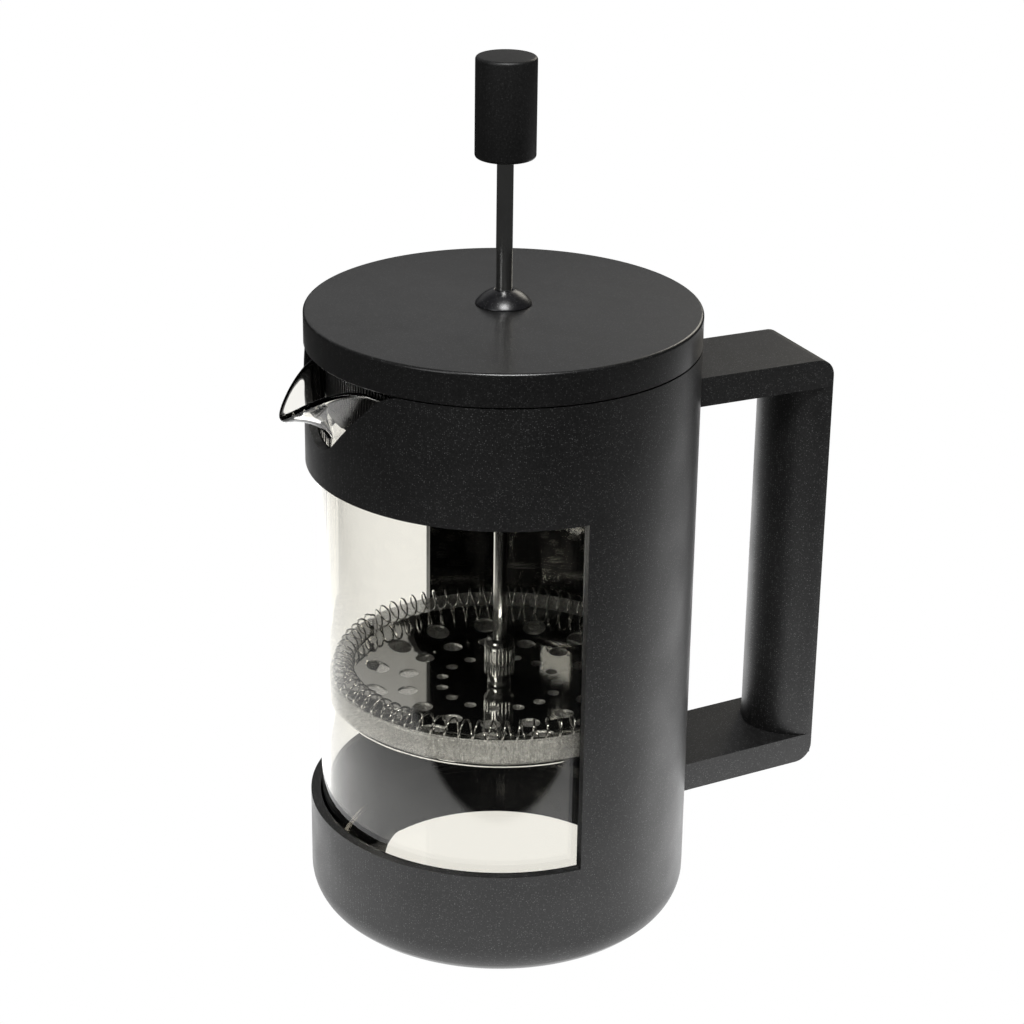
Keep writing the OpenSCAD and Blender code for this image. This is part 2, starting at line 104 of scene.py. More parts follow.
class PressSizes(bpy.types.PropertyGroup):
    """Sizes of the finished pieces."""

    wall: length("Cage wall", "Thickness of the cage's wall", 2.7 * MM)
    heel_radius: length("Heel radius", "Radius of the cage's rounded heel", 10.5 * MM)
    foot_width: length("Foot width", "Width of the ring that meets the table", 2 * MM)
    ledge_height: length("Ledge height", "Height of the ledge below the beaker", 11 * MM)
    ledge_thickness: length("Ledge thickness", "Thickness of that ledge", 2.6 * MM)
    hole_radius: length("Base hole radius", "Radius of the hole in the base", 32 * MM)
    sill_height: length("Sill height", "Height of the window's sill", 33 * MM)
    window_height: length("Window height", "Height of the window", 100.3 * MM)
    notch_depth: length("Notch depth", "Depth of the notch below the spout", 22.4 * MM)
    notch_radius: length("Notch radius", "Radius of the notch's round bottom", 12.5 * MM)
    shoulder: length("Shoulder radius", "Radius of the notch's shoulders at the cage's top", 8 * MM)
    edge: length("Edge radius", "Radius of the cage's small edges", 0.5 * MM)
    handle_width: length("Handle width", "Width of the handle", 29 * MM)
    handle_top: length("Handle top", "Height of the top arm's upper face", 152.6 * MM)
    handle_bottom: length("Handle bottom", "Height of the bottom arm's lower face", 25.8 * MM)
    arm: length("Arm thickness", "Thickness of both arms", 8.3 * MM)
    arm_rise: length("Arm rise", "How far the bottom arm climbs on its way out", 1.9 * MM)
    handle_corner: length("Handle corner", "Radius of the handle's outer corners", 5 * MM)
    grip_edge: length("Grip edge", "Thickness of the edge along the grip", 0.8 * MM)
    grip_depth: length("Grip depth", "How far the rounded grip stands inwards", 13 * MM)
    cover_margin: length("Cover margin", "Rim left round the handle's cover", 2.6 * MM)
    cover_depth: length("Cover depth", "Depth of the seat of the handle's cover", 1.9 * MM)
    lid_edge: length("Lid edge", "Radius of the lid's top edge", 0.8 * MM)
    lid_plate: length("Lid plate", "Thickness of the lid's top", 2.5 * MM)
    lid_crown: length("Lid crown", "How far the lid's top rises from its edge to the bush", 1 * MM)
    lid_wall: length("Lid wall", "Thickness of the lid's skirt", 2.2 * MM)
    bush_shank: length("Bush shank", "Radius of the bush's shank", 4.5 * MM)
    rod_radius: length("Rod radius", "Radius of the rod above its step", 2.2 * MM)
    rod_lower_radius: length("Lower rod radius", "Radius of the rod below its step", 1.9 * MM)
    rod_step: length("Rod step", "Height of the rod's step", 150 * MM)
    knob_edge: length("Knob edge", "Radius of the knob's edges", 0.9 * MM)
    knob_bore: length("Knob bore", "Radius of the hole for the knob's insert", 3.52 * MM)
    mesh_thickness: length("Mesh thickness", "Thickness of the woven mesh", 0.45 * MM)
    mesh_bend: length("Mesh bend", "Radius of the bend below the mesh's rim", 1.6 * MM)
    plate: length("Plate thickness", "Thickness of the perforated plate", 0.8 * MM)
    plate_flat: FloatProperty(
        name="Flat part", description="Share of the plate's radius that is flat", default=0.62, min=0, max=1
    )
    rows: IntProperty(name="Rows", description="Number of rows of holes in the plate", default=15, min=3)
    ring_shares: FloatVectorProperty(
        name="Rings", description="Distances of the three rings of holes, as shares of the plate's radius",
        default=(0.373, 0.595, 0.801),
    )
    ring_holes: FloatVectorProperty(
        name="Holes", description="Radii of the holes in each ring", default=(1.65 * MM, 2.7 * MM, 3.35 * MM),
        unit="LENGTH",
    )
    boss: length("Boss radius", "Radius of the embossed disc in the plate's middle", 12.4 * MM)
    emboss: length("Emboss depth", "Depth of that disc", 0.3 * MM)
    wire: length("Wire radius", "Radius of the spring's wire", 0.3 * MM)
    coil_turns: IntProperty(name="Coil turns", description="Turns of wire in the spring", default=76, min=10)


class PressColours(bpy.types.PropertyGroup):
    """Colours of the finished pieces, in linear light."""

    plastic: colour("Plastic", "Moulded plastic of the cage and the lid", (0.0075, 0.0075, 0.0075))
    # painted glints: the pale colour given to a few specks of the grain in place of the light they catch
    painted_glint_colour: colour("Sparkle", "Glints in the plastic's grain", (0.16, 0.16, 0.16))
    bush: colour("Bush", "Glossy plastic of the bush", (0.008, 0.008, 0.009))
    steel: colour("Steel", "Polished steel", (0.78, 0.78, 0.76))
    wire: colour("Wire", "Bright wire of the spring and the mesh", (0.9, 0.89, 0.86))
    brass: colour("Brass", "Turned brass of the knob's insert", (0.72, 0.50, 0.20))
    glass: colour("Glass", "Clear glass with a faint warm tint", (0.99, 0.976, 0.93))
    floor: colour("Floor", "Pale floor", (1.0, 1.0, 1.0))


class PressStage(bpy.types.PropertyGroup):
    """Where the camera stands and how bright the lights are."""

    azimuth: turn("Azimuth", "Direction of the camera round the press", -25.163)
    pitch: turn("Pitch", "How far the camera looks down", 22.749)
    yaw: turn("Yaw", "How far the camera looks past the press", 0.251)
    roll: turn("Roll", "Tilt of the camera", 0.789)
    distance: length("Distance", "Distance of the camera from the press's axis", 674.98 * MM)
    height: length("Height", "Height of the camera", 399.65 * MM)
    lens: FloatProperty(name="Lens", description="Focal length in millimetres", default=94.35)
    top: FloatProperty(name="Top light", description="Power of the soft light above, in front", default=7.4)
    back: FloatProperty(name="Back light", description="Power of the wide soft light behind", default=2.4)
    right: FloatProperty(
        name="Right light", description="Power of the soft light behind, on the right", default=3.0
    )
    left: FloatProperty(name="Left light", description="Power of the soft light on the left", default=2.2)
    room: FloatProperty(name="Room light", description="Brightness of the surroundings", default=0.02)
    # painted light: the floor's glow that lights the press, in two pools; to the eye the floor stays evenly
    # white
    near: FloatProperty(name="Near pool", description="Brightness of the floor round the press", default=1.42)
    near_bright: length("Near pool radius", "Radius round the press within which it is evenly lit", 130 * MM)
    near_dark: length("Near pool end", "Radius round the press at which that light has faded", 240 * MM)
    far: FloatProperty(name="Far pool", description="Brightness of the floor behind the press", default=1.9)
    far_back: length("Far pool offset", "How far behind the press this pool is centred", 200 * MM)
    far_right: length("Far pool shift", "How far to the camera's right this pool is centred", 80 * MM)
    far_bright: length("Far pool radius", "Radius within which it is evenly lit", 200 * MM)
    far_dark: length("Far pool end", "Radius at which its light has faded", 385 * MM)
    # painted shade: under the press the floor's glow drops away
    shade: length("Shade radius", "Radius of the dark floor under the press", 42 * MM)
    # painted shade in reflections: beyond this the floor goes dark to mirror rays only
    floor_end: length("Floor end", "How far before the press the floor ends that the glass mirrors", 131 * MM)


def sizes():
    return bpy.context.scene.press_sizes


def colours():
    return bpy.context.scene.press_colours


# ---------------------------------------------------------------- modelling


def deselect():
    """Clears the selection, so that the next operator acts only on its own piece."""
    if bpy.context.object and bpy.context.object.mode != "OBJECT":
        bpy.ops.object.mode_set(mode="OBJECT")
    bpy.ops.object.select_all(action="DESELECT")


def pick(piece):
    deselect()
    piece.select_set(True)
    bpy.context.view_layer.objects.active = piece


def named(name):
    piece = bpy.context.object
    piece.name = piece.data.name = name
    return piece


def apply_place(piece):
    """Puts the object's place into its mesh."""
    pick(piece)
    bpy.ops.object.transform_apply(location=True, rotation=True, scale=True)


def turned(name, rings, steps=128, closed=False):
    """A turned piece: a circle drawn out ring by ring along (radius, height) points.

    With closed, the last ring is joined to the first; otherwise a ring of radius 0 ends in a pole."""
    deselect()
    (radius, height), rest = rings[0], list(rings[1:])
    tiny = 1e-5
    bpy.ops.mesh.primitive_circle_add(vertices=steps, radius=max(radius, tiny), location=(0, 0, height))
    piece = named(name)
    apply_place(piece)
    bpy.ops.object.mode_set(mode="EDIT")
    bpy.ops.mesh.select_all(action="SELECT")
    if closed:
        rest.append(rings[0])
    for next_radius, next_height in rest:
        ratio = max(next_radius, tiny) / max(radius, tiny)
        bpy.ops.mesh.extrude_region_move(TRANSFORM_OT_translate={"value": (0, 0, next_height - height)})
        bpy.ops.transform.resize(value=(ratio, ratio, 1), center_override=(0, 0, next_height))
        radius, height = next_radius, next_height
    bpy.ops.mesh.select_all(action="SELECT")
    bpy.ops.mesh.remove_doubles(threshold=4 * tiny)
    bpy.ops.mesh.normals_make_consistent(inside=False)
    bpy.ops.object.mode_set(mode="OBJECT")
    return piece


def block(name, low, high):
    """A box between two corners, to be cut, bevelled or joined."""
    deselect()
    low, high = Vector(low), Vector(high)
    bpy.ops.mesh.primitive_cube_add(size=1, location=(low + high) / 2, scale=high - low)
    piece = named(name)
    apply_place(piece)
    return piece


def select_where(piece, test):
    """Enters edit mode with the vertices that pass the test selected, and so their edges and faces."""
    pick(piece)
    bpy.ops.object.mode_set(mode="EDIT")
    bpy.ops.mesh.select_mode(type="VERT")
    bpy.ops.mesh.select_all(action="DESELECT")
    bpy.ops.object.mode_set(mode="OBJECT")
    for vertex in piece.data.vertices:
        vertex.select = test(vertex.co)
    bpy.ops.object.mode_set(mode="EDIT")


def move_where(piece, test, offset):
    select_where(piece, test)
    bpy.ops.transform.translate(value=offset)
    bpy.ops.object.mode_set(mode="OBJECT")


def bevel_where(piece, test, width, segments):
    """Rounds the edges whose two ends pass the test."""
    select_where(piece, test)
    bpy.ops.mesh.bevel(offset=width, segments=segments, affect="EDGES", profile=0.5)
    bpy.ops.object.mode_set(mode="OBJECT")


def combine(piece, other, operation):
    """Cuts or joins two closed pieces, and removes the second."""
    pick(piece)
    modifier = piece.modifiers.new(operation.title(), "BOOLEAN")
    modifier.operation = operation
    modifier.solver = "EXACT"
    modifier.object = other
    bpy.ops.object.modifier_apply(modifier=modifier.name)
    bpy.data.objects.remove(other, do_unlink=True)


def tidy(piece, distance=0.02 * MM):
    """Merges points that lie together and turns every face outwards."""
    pick(piece)
    bpy.ops.object.mode_set(mode="EDIT")
    bpy.ops.mesh.select_all(action="SELECT")
    bpy.ops.mesh.remove_doubles(threshold=distance)
    bpy.ops.mesh.normals_make_consistent(inside=False)
    bpy.ops.object.mode_set(mode="OBJECT")


def soften(piece, width, segments=3, angle=35):
    """Rounds every sharp edge by a modifier, and applies it."""
    pick(piece)
    modifier = piece.modifiers.new("Edges", "BEVEL")
    modifier.width = width
    modifier.segments = segments
    modifier.limit_method = "ANGLE"
    modifier.angle_limit = math.radians(angle)
    modifier.use_clamp_overlap = True
    bpy.ops.object.modifier_apply(modifier=modifier.name)


def smooth(piece, angle=35):
    pick(piece)
    bpy.ops.object.shade_smooth_by_angle(angle=math.radians(angle))


def weigh_normals(piece):
    """Keeps large faces flat where they meet rounded edges."""
    pick(piece)
    modifier = piece.modifiers.new("Weighted normals", "WEIGHTED_NORMAL")
    modifier.keep_sharp = True
    modifier.weight = 80
    bpy.ops.object.modifier_apply(modifier=modifier.name)


def copied(name, node):
    """A copy of a construction piece whose loose triangles are merged into one skin."""
    deselect()
    source = frame["nodes"][node]
    piece = source.copy()
    piece.data = source.data.copy()
    piece.name = piece.data.name = name
    piece.parent = None
    piece.matrix_world = Matrix.Identity(4)
    bpy.context.scene.collection.objects.link(piece)
    pick(piece)
    piece.data.materials.clear()
    bpy.ops.object.mode_set(mode="EDIT")
    bpy.ops.mesh.select_all(action="SELECT")
    bpy.ops.mesh.remove_doubles(threshold=0.002 * MM)
    bpy.ops.object.mode_set(mode="OBJECT")
    if piece.data.has_custom_normals:
        bpy.ops.mesh.customdata_custom_splitnormals_clear()
    return piece


def arc(x, y, radius, start, end, steps):
    """Points on an arc in degrees, both ends included."""
    angles = [math.radians(start + (end - start) * i / steps) for i in range(steps + 1)]
    return [(x + radius * math.cos(a), y + radius * math.sin(a)) for a in angles]


def finish_piece(piece, material, body, slot, *nodes):
    """Gives a piece its material, attaches it to its body and hides the construction pieces that it stands
    for.
    """
    piece.data.materials.clear()
    piece.data.materials.append(material)
    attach(piece, body)
    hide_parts(*nodes)


# ---------------------------------------------------------------- shader groups


def new_group(name, inputs, outputs):
    """A shader group with its sockets: inputs as name to default, outputs as name to type."""
    group = bpy.data.node_groups.new(name, "ShaderNodeTree")
    for socket_name, default in inputs.items():
        kind = "NodeSocketVector" if socket_name == "Vector" else "NodeSocketFloat"
        socket = group.interface.new_socket(name=socket_name, in_out="INPUT", socket_type=kind)
        if kind == "NodeSocketFloat":
            socket.default_value = default
    for socket_name, kind in outputs.items():
        group.interface.new_socket(name=socket_name, in_out="OUTPUT", socket_type=kind)
    return group, group.nodes.new("NodeGroupInput"), group.nodes.new("NodeGroupOutput")


def calc(tree, operation, a, b=None, c=None, clamp=False):
    """A Math node fed by sockets or plain numbers, and its result."""
    node = tree.nodes.new("ShaderNodeMath")
    node.operation = operation
    node.use_clamp = clamp
    for i, value in enumerate((a, b, c)):
        if value is None:
            continue
        if isinstance(value, (int, float)):
            node.inputs[i].default_value = value
        else:
            tree.links.new(value, node.inputs[i])
    return node.outputs[0]


def noise(tree, vector, scale, detail=2, roughness=0.5):
    node = tree.nodes.new("ShaderNodeTexNoise")
    node.inputs["Detail"].default_value = detail
    node.inputs["Roughness"].default_value = roughness
    tree.links.new(vector, node.inputs["Vector"])
    if isinstance(scale, (int, float)):
        node.inputs["Scale"].default_value = scale
    else:
        tree.links.new(scale, node.inputs["Scale"])
    return node.outputs["Fac"]


def span(tree, value, from_low, from_high, to_low=0.0, to_high=1.0):
    """A Map Range node, clamped."""
    node = tree.nodes.new("ShaderNodeMapRange")
    for i, v in enumerate((value, from_low, from_high, to_low, to_high)):
        if isinstance(v, (int, float)):
            node.inputs[i].default_value = v
        else:
            tree.links.new(v, node.inputs[i])
    return node.outputs[0]


def blend_colour(tree, factor, first, second):
    """Mixes two colours by a mask."""
    node = tree.nodes.new("ShaderNodeMix")
    node.data_type = "RGBA"
    tree.links.new(factor, node.inputs["Factor"])
    for name, value in (("A", first), ("B", second)):
        socket = [s for s in node.inputs if s.name == name and s.type == "RGBA"][0]
        if isinstance(value, tuple):
            socket.default_value = value
        else:
            tree.links.new(value, socket)
    return [s for s in node.outputs if s.type == "RGBA"][0]


def grain_group():
    """Fine grain of a spark-eroded mould: its height, a mask of painted glints for the base colour, the gloss
    that varies with it and a random mottle.
    """
    tree, inputs, outputs = new_group(
        "Moulded grain",
        {"Vector": None, "Scale": 1.0, "Glints": 1.0},
        {
            "Height": "NodeSocketFloat",
            "Glint": "NodeSocketFloat",
            "Gloss": "NodeSocketFloat",
            "Mottle": "NodeSocketFloat",
        },
    )
    vector, scale = inputs.outputs["Vector"], inputs.outputs["Scale"]
    fine_grain, blotches, grains, mottles = 1900, 60, 2800, 2300  # per metre
    fine = noise(tree, vector, calc(tree, "MULTIPLY", scale, fine_grain), detail=3, roughness=0.65)
    broad = noise(tree, vector, calc(tree, "MULTIPLY", scale, blotches), detail=2)
    # painted glints: a few cells of the grain give a mask of bright specks for the base colour; the same
    # cells also raise the grain's height
    cells = tree.nodes.new("ShaderNodeTexVoronoi")
    tree.links.new(vector, cells.inputs["Vector"])
    tree.links.new(calc(tree, "MULTIPLY", scale, grains), cells.inputs["Scale"])
    near = span(tree, cells.outputs["Distance"], 0.22, 0.42, 1.0, 0.0)
    pick_few = tree.nodes.new("ShaderNodeSeparateColor")
    tree.links.new(cells.outputs["Color"], pick_few.inputs[0])
    few = span(tree, pick_few.outputs[0], 0.6, 1.0)
    glint = calc(tree, "MULTIPLY", calc(tree, "MULTIPLY", near, few), inputs.outputs["Glints"], clamp=True)
    height = calc(tree, "ADD", calc(tree, "MULTIPLY", fine, 0.8), calc(tree, "MULTIPLY", near, 0.25))
    tree.links.new(height, outputs.inputs["Height"])
    tree.links.new(glint, outputs.inputs["Glint"])
    tree.links.new(span(tree, broad, 0.3, 0.7), outputs.inputs["Gloss"])
    coarse = noise(tree, vector, calc(tree, "MULTIPLY", scale, mottles), detail=1)
    tree.links.new(span(tree, coarse, 0.35, 0.75), outputs.inputs["Mottle"])
    return tree


def weave_group():
    """Plain weave over a plane or round a rim: its height, the mask of the open squares and a random value
    per crossing for painted glints.
    """
    tree, inputs, outputs = new_group(
        "Wire weave",
        {"Vector": None, "Pitch": 0.6 * MM, "Rim radius": 47 * MM},
        {"Height": "NodeSocketFloat", "Opening": "NodeSocketFloat", "Glint": "NodeSocketFloat"},
    )
    split = tree.nodes.new("ShaderNodeSeparateXYZ")
    tree.links.new(inputs.outputs["Vector"], split.inputs[0])
    x, y, z = split.outputs
    radius = calc(tree, "SQRT", calc(tree, "ADD", calc(tree, "MULTIPLY", x, x), calc(tree, "MULTIPLY", y, y)))
    rim_band = 1.1 * MM
    rim_edge = calc(tree, "SUBTRACT", inputs.outputs["Rim radius"], rim_band)
    rim = calc(tree, "GREATER_THAN", radius, rim_edge)
    around = calc(tree, "MULTIPLY", calc(tree, "ARCTAN2", y, x), inputs.outputs["Rim radius"])
    # round the rim the cloth is cut on the bias, so its wires run at 45 degrees
    diagonal = 0.7071  # half the root of two
    bias_a = calc(tree, "MULTIPLY", calc(tree, "ADD", around, z), diagonal)
    bias_b = calc(tree, "MULTIPLY", calc(tree, "SUBTRACT", around, z), diagonal)
    inverse = calc(tree, "SUBTRACT", 1.0, rim)
    u = calc(tree, "ADD", calc(tree, "MULTIPLY", bias_a, rim), calc(tree, "MULTIPLY", x, inverse))
    v = calc(tree, "ADD", calc(tree, "MULTIPLY", bias_b, rim), calc(tree, "MULTIPLY", y, inverse))
    step_u = calc(tree, "DIVIDE", u, inputs.outputs["Pitch"])
    step_v = calc(tree, "DIVIDE", v, inputs.outputs["Pitch"])
    wave_u = calc(tree, "SINE", calc(tree, "MULTIPLY", step_u, math.pi))
    wave_v = calc(tree, "SINE", calc(tree, "MULTIPLY", step_v, math.pi))
    warp = calc(tree, "ABSOLUTE", wave_u)
    weft = calc(tree, "ABSOLUTE", wave_v)
    over = calc(tree, "MULTIPLY", wave_u, wave_v)
    high = calc(tree, "MAXIMUM", warp, weft)
    height = calc(tree, "ADD", high, calc(tree, "MULTIPLY", over, 0.35))
    opening = calc(tree, "SUBTRACT", 1.0, span(tree, high, 0.8, 0.95))
    # painted glints: each crossing of two wires gets its own random value, which sets its roughness and
    # brightens or darkens its colour in place of the light it catches
    crossing = tree.nodes.new("ShaderNodeCombineXYZ")
    tree.links.new(calc(tree, "FLOOR", step_u), crossing.inputs[0])
    tree.links.new(calc(tree, "FLOOR", step_v), crossing.inputs[1])
    chance = tree.nodes.new("ShaderNodeTexWhiteNoise")
    tree.links.new(crossing.outputs[0], chance.inputs["Vector"])
    tree.links.new(chance.outputs["Value"], outputs.inputs["Glint"])
    tree.links.new(height, outputs.inputs["Height"])
    tree.links.new(opening, outputs.inputs["Opening"])
    return tree


def wear_group():
    """Faint streaks and water marks of handled metal: how rough and how clean it is."""
    tree, inputs, outputs = new_group(
        "Handled metal",
        {"Vector": None, "Streaks": 1.0, "Marks": 1.0},
        {"Rough": "NodeSocketFloat", "Stain": "NodeSocketFloat", "Height": "NodeSocketFloat"},
    )
    stretch = tree.nodes.new("ShaderNodeVectorMath")
    stretch.operation = "MULTIPLY"
    stretch.inputs[1].default_value = (1, 1, 0.03)
    tree.links.new(inputs.outputs["Vector"], stretch.inputs[0])
    streak = noise(tree, stretch.outputs[0], 2600, detail=2)
    marks = noise(tree, inputs.outputs["Vector"], 90, detail=4, roughness=0.6)
    rough = calc(tree, "MULTIPLY", span(tree, streak, 0.35, 0.75), inputs.outputs["Streaks"])
    stain = calc(tree, "MULTIPLY", span(tree, marks, 0.52, 0.75), inputs.outputs["Marks"])
    tree.links.new(calc(tree, "ADD", rough, calc(tree, "MULTIPLY", stain, 0.6)), outputs.inputs["Rough"])
    tree.links.new(stain, outputs.inputs["Stain"])
    tree.links.new(streak, outputs.inputs["Height"])
    return tree


def shared(name, build):
    """The shader group of that name, built the first time it is asked for."""
    return bpy.data.node_groups.get(name) or build()


def new_material(name):
    """An empty material with its Principled shader, and the object's own coordinates."""
    material = bpy.data.materials.new(name)
    material.use_nodes = True
    tree = material.node_tree
    shader = tree.nodes["Principled BSDF"]
    place = tree.nodes.new("ShaderNodeTexCoord").outputs["Object"]
    return material, tree, shader, place


def place_group(tree, group, vector, **values):
    """Puts a shader group into a material with its own values."""
    node = tree.nodes.new("ShaderNodeGroup")
    node.node_tree = group
    tree.links.new(vector, node.inputs["Vector"])
    for name, value in values.items():
        node.inputs[name.replace("_", " ")].default_value = value
    return node


def add_bump(tree, shader, height, strength, distance):
    bump = tree.nodes.new("ShaderNodeBump")
    bump.inputs["Strength"].default_value = strength
    bump.inputs["Distance"].default_value = distance
    tree.links.new(height, bump.inputs["Height"])
    tree.links.new(bump.outputs[0], shader.inputs["Normal"])


def rgba(rgb):
    return (*rgb, 1.0)


def plastic_material(name, rgb, rough_low, rough_high, grain, glints=1.0, coat=0.0, polished=0.0):
    """Near-black moulded plastic with a fine grain and painted glints in its colour, but neither within the
    polished radius.
    """
    polish = 0.09  # roughness within that radius
    material, tree, shader, place = new_material(name)
    group = place_group(tree, shared("Moulded grain", grain_group), place, Scale=1.0, Glints=glints)
    pale = tuple(2.4 * channel for channel in rgb)
    mottled = blend_colour(tree, group.outputs["Mottle"], rgba(rgb), rgba(pale))
    # painted glints: the masked specks take the pale glint colour in place of the light they catch
    tint = blend_colour(tree, group.outputs["Glint"], mottled, rgba(colours().painted_glint_colour))
    radial = tree.nodes.new("ShaderNodeVectorMath")
    radial.operation = "MULTIPLY"
    radial.inputs[1].default_value = (1, 1, 0)
    tree.links.new(place, radial.inputs[0])
    off_axis = tree.nodes.new("ShaderNodeVectorMath")
    off_axis.operation = "LENGTH"
    tree.links.new(radial.outputs[0], off_axis.inputs[0])
    grained = calc(tree, "GREATER_THAN", off_axis.outputs["Value"], polished)
    # within the polished radius the colour stays plain, without mottle or painted glints
    tint = blend_colour(tree, grained, rgba(rgb), tint)
    tree.links.new(tint, shader.inputs["Base Color"])
    matt = span(tree, group.outputs["Gloss"], 0.0, 1.0, rough_low, rough_high)
    tree.links.new(span(tree, grained, 0.0, 1.0, polish, matt), shader.inputs["Roughness"])
    shader.inputs["IOR"].default_value = 1.5
    shader.inputs["Coat Weight"].default_value = coat
    shader.inputs["Coat Roughness"].default_value = 0.2
    add_bump(tree, shader, calc(tree, "MULTIPLY", group.outputs["Height"], grained), grain, 0.05 * MM)
    return material


def steel_material(name, rgb, rough_low, rough_high, marks=0.5):
    """Polished or drawn steel with faint streaks and marks."""
    material, tree, shader, place = new_material(name)
    group = place_group(tree, shared("Handled metal", wear_group), place, Streaks=1.0, Marks=marks)
    shader.inputs["Metallic"].default_value = 1.0
    # here this is only the tint of the stains
    stain_and_painted_shade = tuple(channel * 0.78 for channel in rgb)
    tint = blend_colour(tree, group.outputs["Stain"], rgba(rgb), rgba(stain_and_painted_shade))
    tree.links.new(tint, shader.inputs["Base Color"])
    tree.links.new(
        span(tree, group.outputs["Rough"], 0.0, 1.6, rough_low, rough_high), shader.inputs["Roughness"]
    )
    add_bump(tree, shader, group.outputs["Height"], 0.08, 0.01 * MM)
    return material


def mesh_material():
    """Fine woven wire that lets light through its open squares."""
    material, tree, shader, place = new_material("woven_wire")
    group = place_group(
        tree, shared("Wire weave", weave_group), place, Pitch=0.44 * MM, Rim_radius=mesh_high[0]
    )
    shader.inputs["Metallic"].default_value = 0.7
    # painted glints: crossings that catch the light keep the wire's colour, the rest get a painted shade of
    # 0.4 of it
    stain_and_painted_shade = tuple(0.4 * channel for channel in colours().wire)
    tint = blend_colour(tree, group.outputs["Glint"], rgba(stain_and_painted_shade), rgba(colours().wire))
    tree.links.new(tint, shader.inputs["Base Color"])
    tree.links.new(span(tree, group.outputs["Glint"], 0.0, 1.0, 0.42, 0.22), shader.inputs["Roughness"])
    tree.links.new(span(tree, group.outputs["Opening"], 0.0, 1.0, 1.0, 0.0), shader.inputs["Alpha"])
    add_bump(tree, shader, group.outputs["Height"], 0.9, 0.12 * MM)
    return material


def glass_material():
    """Clear blown glass. Shadow rays pass through it, so that light reaches what it holds."""
    material, tree, shader, place = new_material("clear_glass")
    facing = tree.nodes.new("ShaderNodeLayerWeight").outputs["Facing"]
    dense = tuple(0.95 * channel for channel in colours().glass)
    tint = blend_colour(tree, calc(tree, "POWER", facing, 4.0), rgba(colours().glass), rgba(dense))
    tree.links.new(tint, shader.inputs["Base Color"])
    shader.inputs["Metallic"].default_value = 0.0
    shader.inputs["Roughness"].default_value = 0.0
    shader.inputs["IOR"].default_value = 1.47
    shader.inputs["Transmission Weight"].default_value = 1.0
    ripple = noise(tree, place, 24, detail=1)
    add_bump(tree, shader, ripple, 0.05, 0.3 * MM)
    clear = tree.nodes.new("ShaderNodeBsdfTransparent")
    clear.inputs[0].default_value = (0.93, 0.93, 0.91, 1)
    mix = tree.nodes.new("ShaderNodeMixShader")
    path = tree.nodes.new("ShaderNodeLightPath")
    output = tree.nodes["Material Output"]
    tree.links.new(path.outputs["Is Shadow Ray"], mix.inputs[0])
    tree.links.new(shader.outputs[0], mix.inputs[1])
    tree.links.new(clear.outputs[0], mix.inputs[2])
    tree.links.new(mix.outputs[0], output.inputs["Surface"])
    return material


MATERIALS = {
    "cage": lambda: plastic_material(
        "cage_plastic", tuple(colours().plastic), 0.36, 0.47, 0.35, polished=cage_high[1] - 0.8 * sizes().wall
    ),
    "lid": lambda: plastic_material("lid_plastic", tuple(colours().plastic), 0.3, 0.38, 0.28, 0.6, 0.4),
    "knob": lambda: plastic_material("knob_plastic", tuple(colours().plastic), 0.42, 0.52, 0.3, 0.3),
    "bush": lambda: plastic_material("bush_plastic", tuple(colours().bush), 0.26, 0.34, 0.3, 0.7, 0.1),
    "chrome": lambda: steel_material("bright_chrome", tuple(colours().steel), 0.1, 0.2),
    "plate": lambda: steel_material("mirror_steel", tuple(colours().steel), 0.03, 0.12, 0.3),
    "wire": lambda: steel_material("spring_wire", tuple(colours().wire), 0.06, 0.16),
    "brass": lambda: steel_material("turned_brass", tuple(colours().brass), 0.2, 0.4),
    "mesh": mesh_material,
    "glass": glass_material,
}
made_materials = {}


def material_of(kind):
    """The material of that kind, made the first time it is asked for."""
    if kind not in made_materials:
        made_materials[kind] = MATERIALS[kind]()
    return made_materials[kind]


# ---------------------------------------------------------------- pieces


def cage_wall_ring():
    """The cage's round body, before its openings are cut."""
    s = sizes()
    radius, top = cage_high[1], cage_high[2]
    bore = radius - s.wall
    heel = radius - s.heel_radius
    foot = heel - s.foot_width
    under = s.ledge_height - s.ledge_thickness
    rings = [(foot, 0)]
    rings += arc(heel, s.heel_radius, s.heel_radius, -90, 0, 14)
    rings += [(radius, top), (bore, top), (bore, s.ledge_height), (s.hole_radius, s.ledge_height)]
    rings += [(s.hole_radius, under), (foot, under)]
    return turned("cage_shell", rings, steps=192, closed=True)


def notch_cutter():
    """Cuts the notch below the spout: a square bar on edge, its lower edge and its shoulders rounded."""
    s = sizes()
    side = 60 * MM
    apex = cage_high[2] - s.notch_depth - s.notch_radius * (math.sqrt(2) - 1)
    cutter = block("notch_cutter", (-80 * MM, -side / 2, -side / 2), (-30 * MM, side / 2, side / 2))
    cutter.rotation_euler = (math.radians(45), 0, 0)
    cutter.location = (0, 0, apex + side / math.sqrt(2))
    apply_place(cutter)
    bevel_where(cutter, lambda co: co.z < apex + 0.1 * MM, s.notch_radius, 18)
    top = cage_high[2] + 0.01 * MM
    above = block("above", (-80 * MM, -side, top), (-30 * MM, side, top + side))
    combine(cutter, above, "UNION")
    # the flanks lean by 45 degrees, so they meet the top as far out as they are high
    reach, setback = top - apex, s.shoulder * math.tan(math.radians(22.5))
    bevel_where(cutter, lambda co: abs(co.z - top) < 0.1 * MM and abs(abs(co.y) - reach) < MM, setback, 8)
    return cutter


